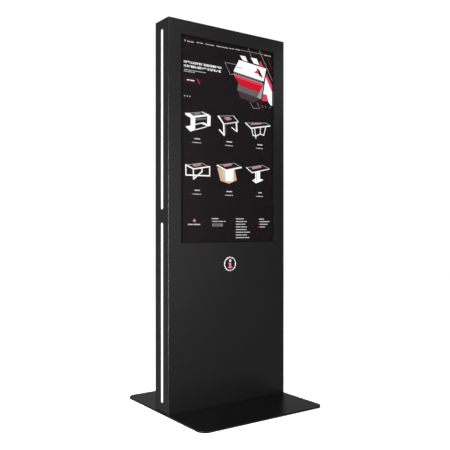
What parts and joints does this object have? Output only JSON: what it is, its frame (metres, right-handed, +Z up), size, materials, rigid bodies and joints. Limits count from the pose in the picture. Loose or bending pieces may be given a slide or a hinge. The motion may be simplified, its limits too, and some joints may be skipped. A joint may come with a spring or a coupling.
{
  "type": "touchscreen kiosk",
  "caption": "Floor-standing touchscreen kiosk: thin black steel casing with a portrait screen, lit side slots, hinged rear doors and a square base plate.",
  "frame": {"origin": "on the floor under the middle of the base", "axes": "+X to the right of a person facing the screen, +Y from the screen towards the rear doors, +Z up"},
  "size_m": [0.68, 0.685, 1.78],
  "materials": {
    "black_powder_coat": "satin",
    "zinc_plated_steel": "zinc plated",
    "aluminium": "anodised",
    "rubber_pads": "matt",
    "gasket_foam": "matt foam",
    "touch_glass": "polished",
    "screen_face": "satin",
    "opal_diffuser": "satin",
    "black_plastic": "fine texture",
    "switch_plastic": "fine texture",
    "grey_steel_cover": "satin",
    "white_acrylic": "gloss",
    "dark_acrylic": "gloss",
    "bright_chrome": "polished",
    "cable_jacket": "satin"
  },
  "bodies": {
    "kiosk": {"backlight_tray": "grey_steel_cover", "base_pad_back_left": "rubber_pads", "base_pad_back_right": "rubber_pads", "base_pad_front_left": "rubber_pads", "base_pad_front_right": "rubber_pads", "base_plate": "black_powder_coat", "casing": "black_powder_coat", "component_plate": "zinc_plated_steel", "display_board_cover": "grey_steel_cover", "display_power_cable": "cable_jacket", "display_rail_lower": "zinc_plated_steel", "display_rail_upper": "zinc_plated_steel", "emblem_disc": "dark_acrylic", "emblem_ring": "white_acrylic", "foot_bolt_back_left": "zinc_plated_steel", "foot_bolt_back_right": "zinc_plated_steel", "foot_bolt_front_left": "zinc_plated_steel", "foot_bolt_front_right": "zinc_plated_steel", "glass_gasket": "gasket_foam", "lcd_frame": "black_plastic", "lcd_panel": "screen_face", "left_upright": "zinc_plated_steel", "light_bar_left": "aluminium", "light_bar_right": "aluminium", "light_diffuser_left_lower": "opal_diffuser", "light_diffuser_left_upper": "opal_diffuser", "light_diffuser_right_lower": "opal_diffuser", "light_diffuser_right_upper": "opal_diffuser", "light_driver": "aluminium", "lower_door_lower_hinge_base": "zinc_plated_steel", "lower_door_upper_hinge_base": "zinc_plated_steel", "mains_cable": "cable_jacket", "middle_rail": "black_powder_coat", "mini_computer": "grey_steel_cover", "power_inlet": "black_plastic", "power_strip": "black_plastic", "rear_sill": "black_powder_coat", "right_upright": "zinc_plated_steel", "top_cover": "black_powder_coat", "top_crossmember": "zinc_plated_steel", "touch_glass": "touch_glass", "upper_door_lower_hinge_base": "zinc_plated_steel", "upper_door_upper_hinge_base": "zinc_plated_steel", "video_cable": "cable_jacket"},
    "computer_button": {"computer_power_button": "bright_chrome"},
    "upper_rear_door": {"fan_frame": "black_plastic", "upper_door": "black_powder_coat", "upper_door_lower_hinge_knuckle": "zinc_plated_steel", "upper_door_upper_hinge_knuckle": "zinc_plated_steel", "upper_lock_housing": "bright_chrome"},
    "fan_blades": {"fan_rotor": "black_plastic"},
    "power_switch": {"inlet_switch": "switch_plastic"},
    "lower_rear_door": {"lower_door": "black_powder_coat", "lower_door_lower_hinge_knuckle": "zinc_plated_steel", "lower_door_upper_hinge_knuckle": "zinc_plated_steel", "lower_lock_housing": "bright_chrome"},
    "lower_lock_barrel": {"lower_lock_cam": "zinc_plated_steel", "lower_lock_plug": "bright_chrome"},
    "upper_lock_barrel": {"upper_lock_cam": "zinc_plated_steel", "upper_lock_plug": "bright_chrome"}
  },
  "joints": [
    {"name": "upper_door_swing", "type": "hinge", "parent": "kiosk", "child": "upper_rear_door", "pos_m": [-0.3115, 0.0653, 1.24275], "axis": [0, 0, 1], "range_deg": [0, 115]},
    {"name": "lower_door_swing", "type": "hinge", "parent": "kiosk", "child": "lower_rear_door", "pos_m": [-0.3115, 0.0653, 0.40855], "axis": [0, 0, 1], "range_deg": [0, 115]},
    {"name": "upper_lock_turn", "type": "hinge", "parent": "upper_rear_door", "child": "upper_lock_barrel", "pos_m": [0.285, 0.0533, 1.24275], "axis": [0, -1, 0], "range_deg": [0, 90]},
    {"name": "lower_lock_turn", "type": "hinge", "parent": "lower_rear_door", "child": "lower_lock_barrel", "pos_m": [0.285, 0.0533, 0.40855], "axis": [0, -1, 0], "range_deg": [0, 90]},
    {"name": "fan_spin", "type": "hinge", "parent": "upper_rear_door", "child": "fan_blades", "pos_m": [0, 0.0452, 1.659], "axis": [0, 1, 0], "continuous": true},
    {"name": "power_switch_rock", "type": "hinge", "parent": "kiosk", "child": "power_switch", "pos_m": [0.2345, 0.0603, 0.0456], "axis": [1, 0, 0], "range_deg": [0, 24]},
    {"name": "computer_button_press", "type": "slide", "parent": "kiosk", "child": "computer_button", "axis": [0, -1, 0], "range_m": [0, 0.0015], "stiffness_N_per_m": 400, "springref_m": -0.001}
  ]
}
